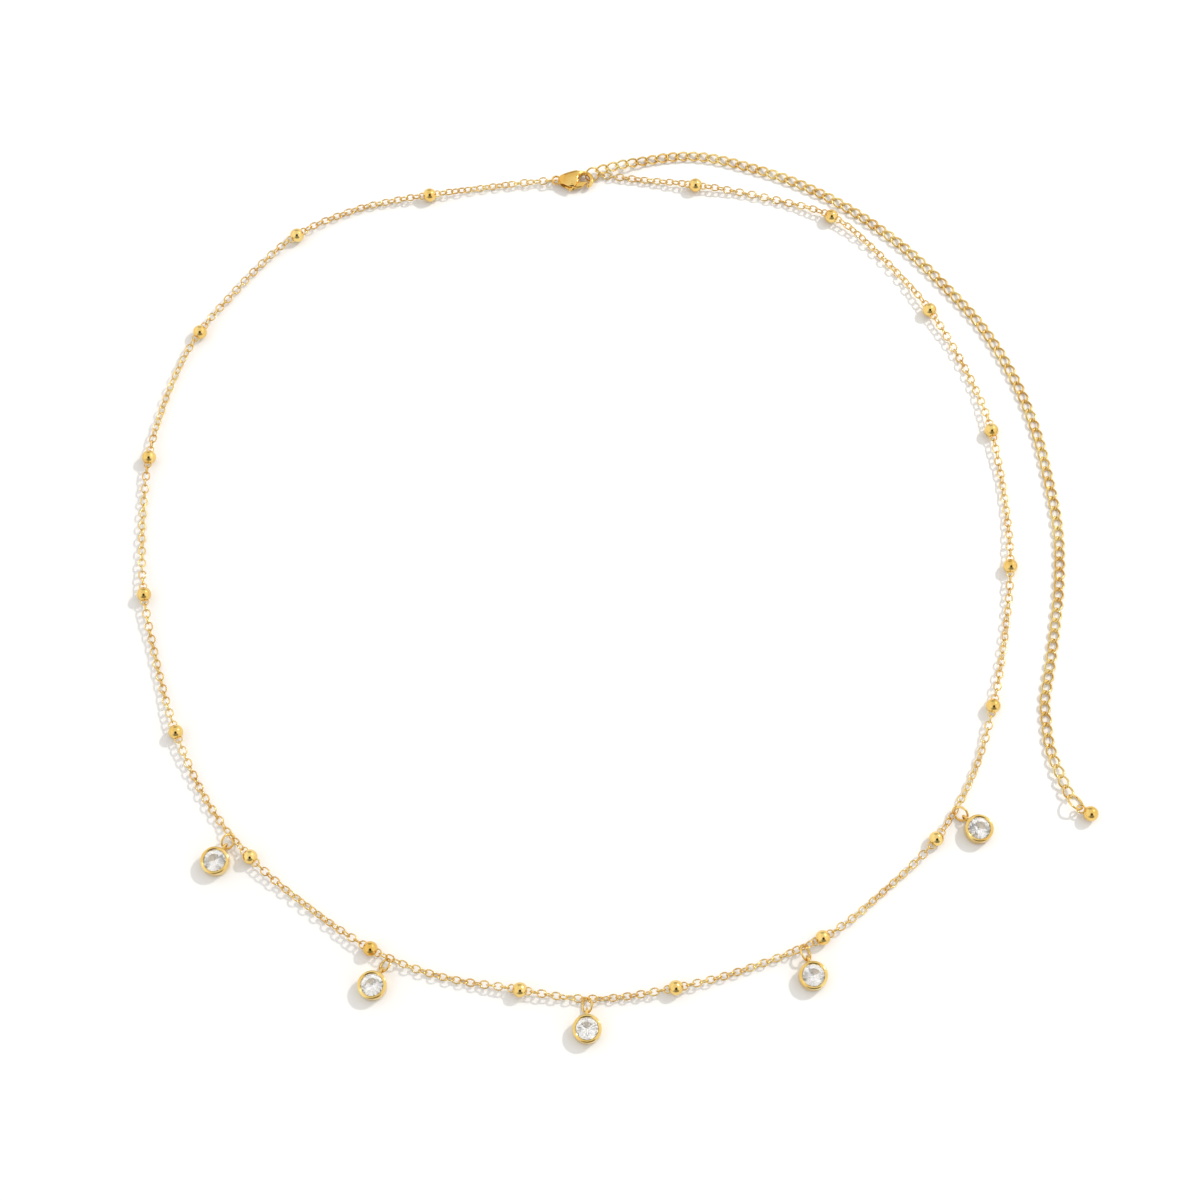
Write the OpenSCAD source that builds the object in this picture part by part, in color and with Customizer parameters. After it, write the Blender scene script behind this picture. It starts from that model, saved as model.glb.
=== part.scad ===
// Waist chain of fine gold cable links with ball stations, five round stone drops,
// a lobster clasp and a twisted-link extender. Millimetres, +Z up, lying on Z = 0,
// origin on the surface under the middle of the whole piece, clasp towards +Y.

/* [Cable chain] */
// Length of one cable link over its ends
link_length = 2.5; // [2.48:0.01:2.54]
// Width of one cable link over its sides
link_width = 2.1; // [2.06:0.01:2.14]
// Wire thickness of the cable links
link_wire = 0.32; // [0.3:0.01:0.33]
// Play between two hooked cable links
link_play = 0.15; // [0.14:0.01:0.16]
// Links between two ball stations
links_per_gap = 19; // [17:1:21]
// Links from the clasp's tail ring to the first ball station
lead_links_tail = 17; // [13:2:21]
// Links from the last ball station to the ring that the clasp hooks
lead_links_hook = 14; // [12:2:18]

/* [Ball stations] */
// Diameter of a station ball
ball_d = 3.6; // [3.4:0.05:3.8]
// Height of the eye's tip above the ball's surface
eye_reach = 1.25; // [1.24:0.01:1.3]

/* [Drops] */
// Outer diameter of a drop's jump ring
drop_ring_d = 4; // [3.96:0.01:4.06]
// Wire thickness of a drop's jump ring
drop_ring_wire = 0.46; // [0.42:0.01:0.47]
// Lean of a drop's jump ring from upright
drop_ring_lean = 40; // [39:0.5:42]
// Outer diameter of a setting
setting_d = 6.8; // [6.6:0.1:7.4]
// Height of a setting
setting_h = 3; // [2.9:0.1:3.4]
// Outer diameter of the loop on a setting
setting_loop_d = 2.65; // [2.6:0.05:2.7]
// Wire thickness of the loop on a setting
setting_loop_wire = 0.52; // [0.4:0.02:0.56]
// Diameter of a stone at its girdle
stone_d = 5.3; // [5:0.05:5.5]
// Gap between a stone and its setting
stone_gap = 0.1; // [0.08:0.01:0.12]

/* [Clasp] */
// Thickness of the clasp's body
clasp_t = 3; // [2.8:0.1:3.1]
// Inner radius of the hook
hook_inner_r = 1.45; // [1.4:0.05:1.5]
// Outer radius of the hook
hook_outer_r = 2.6; // [2.5:0.05:2.65]
// Thickness of the hook
hook_t = 1.2; // [1.1:0.05:1.25]
// Thickness of the lever
lever_t = 0.9; // [0.8:0.05:1]
// Gap between the lever and each side of its slot
lever_gap = 0.1; // [0.08:0.01:0.14]
// Radius of the pivot pin
pivot_r = 0.35; // [0.3:0.01:0.4]
// Gap between the pivot pin and the lever's bore
pivot_gap = 0.08; // [0.06:0.01:0.1]

/* [Clasp rings] */
// Outer diameter of the ring in the clasp's tail
tail_ring_d = 3.4; // [3.36:0.01:3.46]
// Outer diameter of the ring that the clasp hooks
hook_ring_d = 4.2; // [4.15:0.01:4.25]
// Wire thickness of both rings
clasp_ring_wire = 0.46; // [0.42:0.01:0.47]

/* [Extender] */
// Number of twisted links in the extender
curb_count = 90; // [88:1:91]
// Length of one twisted link over its ends
curb_length = 3.95; // [3.9:0.01:4]
// Width of one twisted link over its sides
curb_width = 3; // [2.8:0.05:3.2]
// Wire thickness of the twisted links
curb_wire = 0.48; // [0.44:0.01:0.5]
// Twist of one link from end to end
curb_twist = 90; // [80:1:95]
// Outer diameter of the ring at the extender's end
end_ring_d = 4.8; // [4.6:0.1:5]
// Wire thickness of the ring at the extender's end
end_ring_wire = 0.55; // [0.5:0.01:0.58]
// Diameter of the ball at the extender's end
end_ball_d = 3.7; // [3.4:0.1:4]

/* [Hidden] */
$fn = 48;

// Route of the main chain as it lies, from beyond the clasp's tail ring round to the hooked ring
chain_route = [[-32, 107.5], [-46, 105], [-66.5, 101], [-84.5, 91], [-99, 75],
    [-110, 57], [-116, 36], [-117.5, 15], [-116, -5.5], [-111.5, -25], [-105.5, -43],
    [-97, -60], [-85.5, -74], [-71.5, -85.5], [-56.5, -95.5], [-41, -101.5], [-24.5, -104.5],
    [-5, -107], [15, -104.5], [33, -99.5], [51, -92], [64, -82], [77.5, -69], [87.5, -52.5],
    [93.5, -34], [97.5, -15], [99.5, 4.5], [98.5, 25], [94.5, 45.5], [86, 65], [74.5, 82.5],
    [59.5, 97.5], [40, 104.6], [20, 108]];
// Route of the extender, from beyond the hooked ring to its end ring
extender_route = [[12, 116], [24, 116.7], [37, 113.5], [50, 108.5], [63, 101],
    [76, 90.5], [87, 78.5], [96.5, 66], [103.5, 52], [108, 38], [110.5, 24], [112, 10.5],
    [111.5, -2.5], [109.5, -16], [107.5, -26.5], [106, -34], [106, -40], [106.5, -46],
    [108, -51.5], [110, -57]];

// Number of ball stations on the chain
station_count = 18;

// Drops: ball station that a drop hangs next to, links counted from that ball (negative
// before it), swing from square to the chain in degrees, pull on the ring, side to which
// the ring leans, turn of the stone in degrees, and roll of each real link from the one
// beyond the drop to the ball
drop_table = [
    [7, -3, 19, -0.2, -1, 10, [140, 50, 140, 60]],
    [8, 2, -7, 0.2, 1, 31, [120, 30, 120]],
    [9, 8, 2, 0, 1, 4, [10, 120, 10]],
    [11, -2, -8, -0.2, -1, 22, [30, 140, 50]],
    [12, 4, -10, -0.2, 1, 15, [130, 40, 140, 40, 120]]];
DROP_BALL = 0;
DROP_LINKS = 1;
DROP_SWING = 2;
DROP_PULL = 3;
DROP_SIDE = 4;
DROP_TURN = 5;
DROP_ROLLS = 6;

// Play between a ring and the link that it carries
ring_play = 0.14;
// Play between a ring and the twisted link that it carries
curb_play = 0.22;
// Gap between the end of a chain stretch and what it leads to
stretch_gap = 0.2;
// Distance from a ball or ring at which the chain starts to come down, and reaches the surface
settle_start = 3;
settle_length = 14;
// Straight steps into which each span of a route is cut
route_steps = 8;
// Cross-sections of one chain stretch, sides of a cross-section
stretch_rings = 4;
stretch_sides = 8;
// Points round a cable link and round its wire
link_points = 12;
wire_points = 6;
// Points round a twisted link and round its wire
curb_points = 10;
curb_wire_points = 5;

link_pitch = link_length - 2 * link_wire - link_play;
link_bow = (link_length - link_wire) / 2;
eye_r = (link_width - link_wire) / 2;
eye_bow = ball_d / 2 + eye_reach - link_wire / 2;
first_link = eye_bow - link_wire - link_play + link_bow;
station_gap = (links_per_gap - 1) * link_pitch + 2 * first_link;
tail_lead = (lead_links_tail - 1) * link_pitch + first_link;
hook_lead = (lead_links_hook - 1) * link_pitch + first_link;
chain_length = tail_lead + (station_count - 1) * station_gap + hook_lead;
chain_r = link_width / 2;
curb_bow = (curb_length - curb_wire) / 2;
curb_z = 0.5 * curb_width * sin(curb_twist / 2) * 0.72;

// Clasp: middle of the hook's hole, tail bore and pivot, in the clasp's own frame
clasp_at = [-7, 109.3];
tail_bore = [-7.3, 0];
tail_bore_r = 0.88;
tail_outer_r = 1.35;
tail_t = 0.6;
pivot = [-3.2, -1.4];
clasp_z = clasp_t / 2;
hook_from = -72;
hook_to = 170;
slot_t = lever_t + 2 * lever_gap;

// Ring in the clasp's tail, and the link that it carries
tail_lean = 30;
tail_dir = 184;
tail_ring_z = ring_z(tail_ring_d, clasp_ring_wire, tail_lean);
tail_ring_at = ring_from([clasp_at[0] + tail_bore[0], clasp_at[1] + tail_bore[1]], clasp_z,
    tail_ring_d, clasp_ring_wire, tail_lean, tail_dir, 1);
tail_far = ring_point(tail_ring_at, tail_ring_d, clasp_ring_wire, tail_lean, tail_dir, 0);
tail_link_roll = -tail_lean;
tail_link_z = tail_ring_z;
tail_link_at = tail_far + (link_bow - (clasp_ring_wire + link_wire) / 2 - ring_play)
    * heading(towards(tail_far, chain_route[0]));

// Ring that the clasp hooks: it carries the chain's last link below and the extender above
hook_lean = 36;
hook_dir = 24;
hook_cross = [0.55, 0.65];
hook_fan_low = 26;
hook_fan_high = 16;
hook_ring_z = ring_z(hook_ring_d, clasp_ring_wire, hook_lean);
hook_ring_at = ring_from(clasp_at + hook_cross, clasp_z,
    hook_ring_d, clasp_ring_wire, hook_lean, hook_dir, 1);
hook_climb = ring_r(hook_ring_d, clasp_ring_wire) * cos(hook_lean);
hook_low = ring_point(hook_ring_at, hook_ring_d, clasp_ring_wire, hook_lean, hook_dir, -hook_fan_low);
hook_high = ring_point(hook_ring_at, hook_ring_d, clasp_ring_wire, hook_lean, hook_dir, hook_fan_high);
hook_link_z = hook_ring_z - hook_climb * sin(hook_fan_low);
hook_link_roll = 42;
hook_link_at = hook_low + (link_bow - (clasp_ring_wire + link_wire) / 2 - ring_play)
    * heading(towards(hook_low, chain_route[len(chain_route) - 1]));
extender_start_z = hook_ring_z + hook_climb * sin(hook_fan_high);
extender_link_at = hook_high + (curb_bow - (clasp_ring_wire + curb_wire) / 2 - curb_play)
    * heading(towards(hook_high, extender_route[0]));

// Smooth curve through the points of a route
function blend4(a, b, c, d, t) =
    0.5 * (2 * b + (c - a) * t + (2 * a - 5 * b + 4 * c - d) * t * t
        + (3 * b - a - 3 * c + d) * t * t * t);
function padded(p) = concat([2 * p[0] - p[1]], p, [2 * p[len(p) - 1] - p[len(p) - 2]]);
function smooth(p) = let (q = padded(p)) concat(
    [for (i = [0 : len(p) - 2], j = [0 : route_steps - 1])
        blend4(q[i], q[i + 1], q[i + 2], q[i + 3], j / route_steps)],
    [p[len(p) - 1]]);
function lengths(p) = [for (i = 0, s = 0; i < len(p);
    s = s + (i + 1 < len(p) ? norm(p[i + 1] - p[i]) : 0), i = i + 1) s];
function table(p, axis) = let (s = lengths(p)) [for (i = [0 : len(p) - 1]) [s[i], p[i][axis]]];

chain_curve = smooth(concat([tail_link_at], chain_route, [hook_link_at]));
chain_x = table(chain_curve, 0);
chain_y = table(chain_curve, 1);
chain_span = chain_x[len(chain_x) - 1][0];
extender_curve = smooth(concat([extender_link_at], extender_route));
extender_x = table(extender_curve, 0);
extender_y = table(extender_curve, 1);
extender_span = extender_x[len(extender_x) - 1][0];

// Place and heading at a distance along the main chain's route
function on_chain(s) = [lookup(s, chain_x), lookup(s, chain_y)];
function chain_dir(s) = let (d = on_chain(s + 0.5) - on_chain(s - 0.5)) atan2(d[1], d[0]);
function on_extender(s) = [lookup(s, extender_x), lookup(s, extender_y)];
function extender_dir(s) = let (d = on_extender(s + 0.5) - on_extender(s - 0.5)) atan2(d[1], d[0]);

// Where the ball stations and the drops' links sit along the route
function station_s(k) = (tail_lead + (k - 1) * station_gap) * chain_span / chain_length;
function drop_reach(d) = first_link + (abs(d[DROP_LINKS]) - 1) * link_pitch;
function drop_s(d) = station_s(d[DROP_BALL]) + sign(d[DROP_LINKS]) * drop_reach(d);

// Height of the chain's middle line, which comes down to the surface from every ball and ring
ball_z = ball_d / 2;
function settle(d) = abs(d) >= settle_length ? 0 : abs(d) <= settle_start ? 1
    : 0.5 + 0.5 * cos(180 * (abs(d) - settle_start) / (settle_length - settle_start));
function chain_z(s) = chain_r
    + (ball_z - chain_r) * max([for (k = [1 : station_count]) settle(s - station_s(k))])
    + (tail_link_z - chain_r) * settle(s)
    + (hook_link_z - chain_r) * settle(s - chain_span);

function slope(rise, run) = atan2(rise, run);
function chain_slope(s) = slope(chain_z(s + 0.5) - chain_z(s - 0.5), 1);

// Rings: centre height of a leaning ring, and where its wire crosses a given height
function ring_r(d, wire) = (d - wire) / 2;
function ring_z(d, wire, lean) = ring_r(d, wire) * cos(lean) + wire / 2;
function cross_k(z, d, wire, lean) = (z - ring_z(d, wire, lean)) / cos(lean);
function cross_n(z, d, wire, lean) = sqrt(pow(ring_r(d, wire), 2) - pow(cross_k(z, d, wire, lean), 2));
function heading(a) = [cos(a), sin(a)];
function towards(a, b) = atan2(b[1] - a[1], b[0] - a[0]);
// Centre of a leaning ring whose wire goes through a place at a given height, and the place
// of its wire at an angle from its far end
function ring_from(at, z, d, wire, lean, dir, side) =
    at + cross_n(z, d, wire, lean) * heading(dir)
        - side * cross_k(z, d, wire, lean) * sin(lean) * heading(dir + 90);
function ring_point(at, d, wire, lean, dir, fan) =
    at + ring_r(d, wire) * (cos(fan) * heading(dir) + sin(fan) * sin(lean) * heading(dir + 90));

// Drops: swung direction, ring centre, loop centre and setting centre
setting_loop_z = setting_h / 2;
function drop_dir(d) = chain_dir(drop_s(d)) - 90 + d[DROP_SWING];
function drop_ring_at(d) =
    ring_from(on_chain(drop_s(d)) + d[DROP_PULL] * heading(drop_dir(d)), chain_z(drop_s(d)),
        drop_ring_d, drop_ring_wire, drop_ring_lean, drop_dir(d), d[DROP_SIDE]);
function drop_loop_at(d) =
    drop_ring_at(d)
        + cross_n(setting_loop_z, drop_ring_d, drop_ring_wire, drop_ring_lean) * heading(drop_dir(d))
        + d[DROP_SIDE] * cross_k(setting_loop_z, drop_ring_d, drop_ring_wire, drop_ring_lean)
            * sin(drop_ring_lean) * heading(drop_dir(d) + 90);
// Depth to which a setting's loop goes over the setting's wall
setting_loop_sink = 0.9;
setting_loop_out = setting_d / 2 + setting_loop_d / 2 - setting_loop_sink;
function drop_at(d) = drop_loop_at(d) + setting_loop_out * heading(drop_dir(d));

// Stone: girdle, crown and pavilion heights follow the stone's diameter
stone_r = stone_d / 2;
table_r = 0.58 * stone_r;
crown_h = 0.32 * stone_r;
girdle_h = 0.05 * stone_r;
pavilion_h = 0.84 * stone_r;
girdle_z = setting_h - 0.5;

// Ring at the extender's end, and its ball
end_lean = 50;
end_link_z = 1.4;
end_turn = 22;
end_dir = extender_dir(extender_span) + end_turn;
end_ring_z = ring_z(end_ring_d, end_ring_wire, end_lean);
end_cross = on_extender(extender_span)
    + (curb_bow - (curb_wire + end_ring_wire) / 2 - curb_play) * heading(end_dir - end_turn);
end_side = -1;
end_ring_at = ring_from(end_cross, end_link_z, end_ring_d, end_ring_wire, end_lean, end_dir, end_side);
end_ball_dir = end_dir + 20;
end_eye_wire = 0.42;
end_eye_r = 1;
end_eye_out = end_ball_d / 2 + 0.7;

// Height of the extender's middle line
function extender_z(s) = curb_z + (extender_start_z - curb_z) * settle(s)
    + (end_link_z - curb_z) * settle(extender_span - s);

// Closed tube through centres, with frames given by a side and an up direction for each
function tube_points(centres, sides, ups, r, n) =
    [for (i = [0 : len(centres) - 1], j = [0 : n - 1])
        let (a = 360 * (j + 0.5) / n)
        centres[i] + r * (cos(a) * sides[i] + sin(a) * ups[i])];
function tube_faces(m, n) = concat(
    [[for (j = [0 : n - 1]) j]],
    [[for (j = [n - 1 : -1 : 0]) (m - 1) * n + j]],
    [for (i = [0 : m - 2], j = [0 : n - 1]) [i * n + j, (i + 1) * n + j, (i + 1) * n + (j + 1) % n]],
    [for (i = [0 : m - 2], j = [0 : n - 1]) [i * n + j, (i + 1) * n + (j + 1) % n, i * n + (j + 1) % n]]);
// Closed ring of wire through centres that come back to their start
function loop_faces(m, n) = concat(
    [for (i = [0 : m - 1], j = [0 : n - 1])
        [i * n + j, ((i + 1) % m) * n + j, ((i + 1) % m) * n + (j + 1) % n]],
    [for (i = [0 : m - 1], j = [0 : n - 1])
        [i * n + j, ((i + 1) % m) * n + (j + 1) % n, i * n + (j + 1) % n]]);
function unit(v) = v / norm(v);

// Wire bent to a closed centre line, with wire points turned out from the line's middle
module wire_loop(centres, wire, n) {
    m = len(centres);
    tangents = [for (i = [0 : m - 1]) unit(centres[(i + 1) % m] - centres[(i + m - 1) % m])];
    outs = [for (i = [0 : m - 1]) let (v = centres[i] - (centres[i] * tangents[i]) * tangents[i]) unit(v)];
    ups = [for (i = [0 : m - 1]) cross(tangents[i], outs[i])];
    polyhedron(
        points = [for (i = [0 : m - 1], j = [0 : n - 1])
            let (a = 360 * j / n)
            centres[i] + wire / 2 * (cos(a) * outs[i] + sin(a) * ups[i])],
        faces = loop_faces(m, n));
}

// Oval cable link about its own middle, long way along X, flat in XY
function oval(a) =
    let (w = eye_r,
        straight = link_bow - w,
        c = cos(a))
    [c * w + (abs(c) < 0.01 ? 0 : sign(c) * straight), w * sin(a), 0];
module cable_link() {
    wire_loop([for (i = [0 : link_points - 1]) oval(360 * i / link_points)], link_wire, wire_points);
}

// Oval link twisted about its length so that it interlocks with a copy of itself
module curb_link() {
    b = (curb_width - curb_wire) / 2;
    wire_loop([for (i = [0 : curb_points - 1])
        let (a = 360 * i / curb_points,
            x = curb_bow * cos(a),
            turn = curb_twist / 2 * cos(a))
        [x, b * sin(a) * cos(turn), b * sin(a) * sin(turn)]],
        curb_wire, curb_wire_points);
}

// Round ring of round wire, flat in XY
module wire_ring(d, wire) {
    rotate_extrude() translate([ring_r(d, wire), 0]) circle(d = wire, $fn = 32);
}

// Ring that stands on the surface and leans over, with its upright plane along a direction
module leaning_ring(at, z, dir, lean, side, d, wire) {
    translate([at[0], at[1], z])
        rotate([0, 0, dir])
        rotate([side > 0 ? 90 - lean : 90 + lean, 0, 0])
        wire_ring(d, wire);
}

// One link of the main chain at a distance along the route, rolled about the chain
module chain_link_at(s, roll) {
    p = on_chain(s);
    translate([p[0], p[1], chain_z(s)])
        rotate([0, -chain_slope(s), chain_dir(s)])
        rotate([roll, 0, 0])
        cable_link();
}

// One stretch of the main chain as a tube between two distances along the route
module chain_stretch(from, to) {
    stops = [for (i = [0 : stretch_rings - 1])
        let (f = i / (stretch_rings - 1),
            ends = min(settle_length, (to - from) / 3))
        i == 0 ? from : i == stretch_rings - 1 ? to
            : from + ends + (to - from - 2 * ends) * (i - 1) / (stretch_rings - 3)];
    centres = [for (s = stops) let (p = on_chain(s)) [p[0], p[1], chain_z(s)]];
    sides = [for (s = stops) let (a = chain_dir(s) + 90) [cos(a), sin(a), 0]];
    ups = [for (s = stops) [0, 0, 1]];
    polyhedron(
        points = tube_points(centres, sides, ups, chain_r, stretch_sides),
        faces = tube_faces(stretch_rings, stretch_sides));
}

// Real links stand near each drop and clasp ring, the stretches run between them.
// A stretch keeps a gap to the eye of a ball and to the last real link.
eye_stop = ball_d / 2 + eye_reach + stretch_gap;
link_stop = link_pitch + link_length / 2 + stretch_gap;

// Real links from one link beyond a drop to the ball, or to one link past the drop
function near_ball(d) = abs(d[DROP_LINKS]) <= 4;
module drop_links(d) {
    for (k = [-1 : len(d[DROP_ROLLS]) - 2])
        chain_link_at(drop_s(d) - sign(d[DROP_LINKS]) * k * link_pitch, d[DROP_ROLLS][k + 1]);
}

// Distances at which the stretches begin and end, in order along the chain
function drop_of(k) = [for (d = drop_table) if ((d[DROP_LINKS] > 0 && d[DROP_BALL] == k)
    || (d[DROP_LINKS] < 0 && d[DROP_BALL] == k + 1)) d];
function gap_stops(k) =
    let (a = k == 0 ? link_stop : station_s(k) + eye_stop,
        b = k == station_count ? chain_span - link_stop : station_s(k + 1) - eye_stop,
        ds = drop_of(k))
    len(ds) == 0 ? [[a, b]]
        : let (d = ds[0], m = drop_s(d))
            !near_ball(d) ? [[a, m - link_stop], [m + link_stop, b]]
                : d[DROP_LINKS] > 0 ? [[m + link_stop, b]] : [[a, m - link_stop]];

// Middle of the chain, where its two halves meet, on the middle drop's link
middle_gap = 9;

module chain_left_half() {
    color("gold") {
        chain_link_at(0, tail_link_roll);
        chain_link_at(link_pitch, tail_link_roll + 90);
        for (k = [0 : middle_gap - 1], r = gap_stops(k)) chain_stretch(r[0], r[1]);
        chain_stretch(gap_stops(middle_gap)[0][0], gap_stops(middle_gap)[0][1]);
        for (i = [0 : 2]) drop_links(drop_table[i]);
    }
}

module chain_right_half() {
    color("gold") {
        chain_stretch(gap_stops(middle_gap)[1][0], gap_stops(middle_gap)[1][1]);
        for (k = [middle_gap + 1 : station_count], r = gap_stops(k)) chain_stretch(r[0], r[1]);
        for (i = [3 : 4]) drop_links(drop_table[i]);
        chain_link_at(chain_span - link_pitch, hook_link_roll - 54);
        chain_link_at(chain_span, hook_link_roll);
    }
}

// Ball station: a ball with a half-sunk link soldered into each end as its eyes
module bead(k) {
    s = station_s(k);
    p = on_chain(s);
    color("gold")
        translate([p[0], p[1], ball_z])
        rotate([0, 0, chain_dir(s)]) {
            sphere(d = ball_d);
            for (side = [-1, 1])
                translate([side * (eye_bow - eye_r), 0, 0]) wire_ring(link_width, link_wire);
        }
}

module drop_ring(i) {
    d = drop_table[i];
    color("gold")
        leaning_ring(drop_ring_at(d), ring_z(drop_ring_d, drop_ring_wire, drop_ring_lean),
            drop_dir(d), drop_ring_lean, d[DROP_SIDE], drop_ring_d, drop_ring_wire);
}

// Setting: a turned collar with a sloping seat and a thin lip over the stone's edge,
// and a loop soldered upright to its wall
module drop_setting(i) {
    d = drop_table[i];
    p = drop_at(d);
    outer = setting_d / 2;
    bore = stone_r + stone_gap;
    slope = pavilion_h / stone_r;
    seat_in = 0.74 * stone_r;
    seat_z = girdle_z - (stone_r - seat_in) * slope - 1.4 * stone_gap;
    lip_in = stone_r - 0.12;
    lip_z = girdle_z + girdle_h + 0.12 * crown_h / (stone_r - table_r) + 1.6 * stone_gap;
    color("gold")
        translate([p[0], p[1], 0])
        rotate([0, 0, drop_dir(d)]) {
            rotate_extrude() polygon([
                [seat_in, 0], [outer - 0.25, 0], [outer, 0.25], [outer, setting_h - 0.3],
                [outer - 0.12, setting_h - 0.08], [outer - 0.3, setting_h],
                [lip_in + 0.1, setting_h], [lip_in, setting_h - 0.08], [lip_in, lip_z],
                [bore, lip_z], [bore, girdle_z - 1.4 * stone_gap], [seat_in, seat_z]]);
            translate([-setting_loop_out, 0, setting_loop_z])
                rotate([90, 0, 0]) wire_ring(setting_loop_d, setting_loop_wire);
        }
}

// Round cut stone: flat table, star, kite and half facets above the girdle,
// main and half facets below it down to a point
module drop_stone(i) {
    d = drop_table[i];
    p = drop_at(d);
    star_r = 0.79 * stone_r;
    star_z = 0.55 * crown_h;
    main_r = 0.22 * stone_r;
    main_z = pavilion_h * (1 - main_r / stone_r) * 0.995;
    function spot(j, r, z) = [r * cos(22.5 * j), r * sin(22.5 * j), z];
    tables = [for (j = [0 : 7]) spot(2 * j, table_r, girdle_h + crown_h)];
    stars = [for (j = [0 : 7]) spot(2 * j + 1, star_r, girdle_h + star_z)];
    rims = [for (j = [0 : 15]) spot(j, stone_r, girdle_h)];
    lows = [for (j = [0 : 15]) spot(j, stone_r, 0)];
    mains = [for (j = [0 : 7]) spot(2 * j + 1, main_r, -main_z)];
    // First index of each group of points
    st = 8;
    ri = 16;
    lo = 32;
    ma = 48;
    tip = 56;
    color("white")
        translate([p[0], p[1], girdle_z])
        rotate([0, 0, drop_dir(d) + d[DROP_TURN]])
        polyhedron(
            points = concat(tables, stars, rims, lows, mains, [[0, 0, -pavilion_h]]),
            faces = concat(
                [[for (j = [7 : -1 : 0]) j]],
                [for (j = [0 : 7]) [j, (j + 1) % 8, st + j]],
                [for (j = [0 : 7]) [j, st + j, ri + 2 * j]],
                [for (j = [0 : 7]) [(j + 1) % 8, ri + (2 * j + 2) % 16, st + j]],
                [for (j = [0 : 7]) [st + j, ri + 2 * j + 1, ri + 2 * j]],
                [for (j = [0 : 7]) [st + j, ri + (2 * j + 2) % 16, ri + 2 * j + 1]],
                [for (j = [0 : 15]) [ri + j, ri + (j + 1) % 16, lo + j]],
                [for (j = [0 : 15]) [ri + (j + 1) % 16, lo + (j + 1) % 16, lo + j]],
                [for (j = [0 : 7]) [lo + 2 * j, lo + 2 * j + 1, ma + j]],
                [for (j = [0 : 7]) [lo + 2 * j + 1, lo + (2 * j + 2) % 16, ma + j]],
                [for (j = [0 : 7]) [lo + (2 * j + 2) % 16, ma + (j + 1) % 8, ma + j]],
                [for (j = [0 : 7]) [ma + j, ma + (j + 1) % 8, tip]]));
}

// Clasp body: hook, shoulder and bored tail in one piece, slotted for the lever,
// with the pivot pin through the slot
function shoulder() = smooth([[-6.7, 1.05], [-5.2, 1.5], [-3.4, 2.1], [-1.4, 2.55], [-0.3, 2.58]]);
function belly() = smooth([[-1.75, -1.5], [-2.3, -2.35], [-3.2, -2.55], [-4.6, -2.1], [-6, -1.4],
    [-6.7, -1.05]]);
module clasp_body() {
    color("goldenrod")
        translate([clasp_at[0], clasp_at[1], clasp_z]) {
            rotate([0, 0, hook_from])
                rotate_extrude(angle = hook_to - hook_from)
                polygon([
                    [hook_inner_r, -0.3 * hook_t], [hook_inner_r + 0.3, -0.5 * hook_t],
                    [hook_outer_r - 0.35, -0.5 * hook_t], [hook_outer_r, -0.25 * hook_t],
                    [hook_outer_r, 0.25 * hook_t], [hook_outer_r - 0.35, 0.5 * hook_t],
                    [hook_inner_r + 0.3, 0.5 * hook_t], [hook_inner_r, 0.3 * hook_t]]);
            difference() {
                translate([0, 0, -clasp_t / 2])
                    linear_extrude(clasp_t)
                    polygon(concat(shoulder(), belly()));
                cylinder(r = hook_inner_r + 0.15, h = clasp_t + 1, center = true);
                translate([-4.6, -4, -slot_t / 2]) cube([5, 4.3, slot_t]);
            }
            translate([pivot[0], pivot[1], 0])
                cylinder(r = pivot_r, h = slot_t + 0.4, center = true);
            difference() {
                union() {
                    translate([tail_bore[0], tail_bore[1], 0])
                        cylinder(r = tail_outer_r, h = tail_t, center = true);
                    translate([tail_bore[0], -tail_outer_r, -tail_t / 2])
                        cube([1.5, 2 * tail_outer_r, tail_t]);
                }
                translate([tail_bore[0], tail_bore[1], 0])
                    cylinder(r = tail_bore_r, h = tail_t + 1, center = true);
            }
        }
}

// Lever: gate that closes the hook's mouth, bored hub and thumb tab
module clasp_lever() {
    color("goldenrod")
        translate([clasp_at[0], clasp_at[1], clasp_z - lever_t / 2])
        difference() {
            union() {
                translate([pivot[0], pivot[1], 0]) cylinder(r = 0.85, h = lever_t);
                linear_extrude(lever_t)
                    polygon([
                        [-3.1, -0.7], [-1.6, -0.5], [0.5, -0.42], [0.95, -0.7], [0.85, -1.02],
                        [0.22, -1.3], [0.05, -2.3], [-1.2, -2.42], [-2.2, -2.35], [-2.75, -2.3],
                        [-3.3, -3.1], [-3.75, -3.4], [-4.15, -3.1], [-3.9, -1.8],
                        [-3.75, -1]]);
            }
            translate([pivot[0], pivot[1], -1])
                cylinder(r = pivot_r + pivot_gap, h = lever_t + 2);
        }
}

module clasp_tail_ring() {
    color("gold")
        leaning_ring(tail_ring_at, tail_ring_z, tail_dir, tail_lean, 1, tail_ring_d, clasp_ring_wire);
}

module clasp_hook_ring() {
    color("gold")
        leaning_ring(hook_ring_at, hook_ring_z, hook_dir, hook_lean, 1, hook_ring_d, clasp_ring_wire);
}

module extender_chain() {
    color("gold")
        for (i = [0 : curb_count]) {
            s = extender_span * i / curb_count;
            p = on_extender(s);
            translate([p[0], p[1], extender_z(s)])
                rotate([0, -slope(extender_z(s + 0.5) - extender_z(s - 0.5), 1), extender_dir(s)])
                curb_link();
        }
}

module extender_ring() {
    color("gold")
        leaning_ring(end_ring_at, end_ring_z, end_dir, end_lean, end_side, end_ring_d, end_ring_wire);
}

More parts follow.
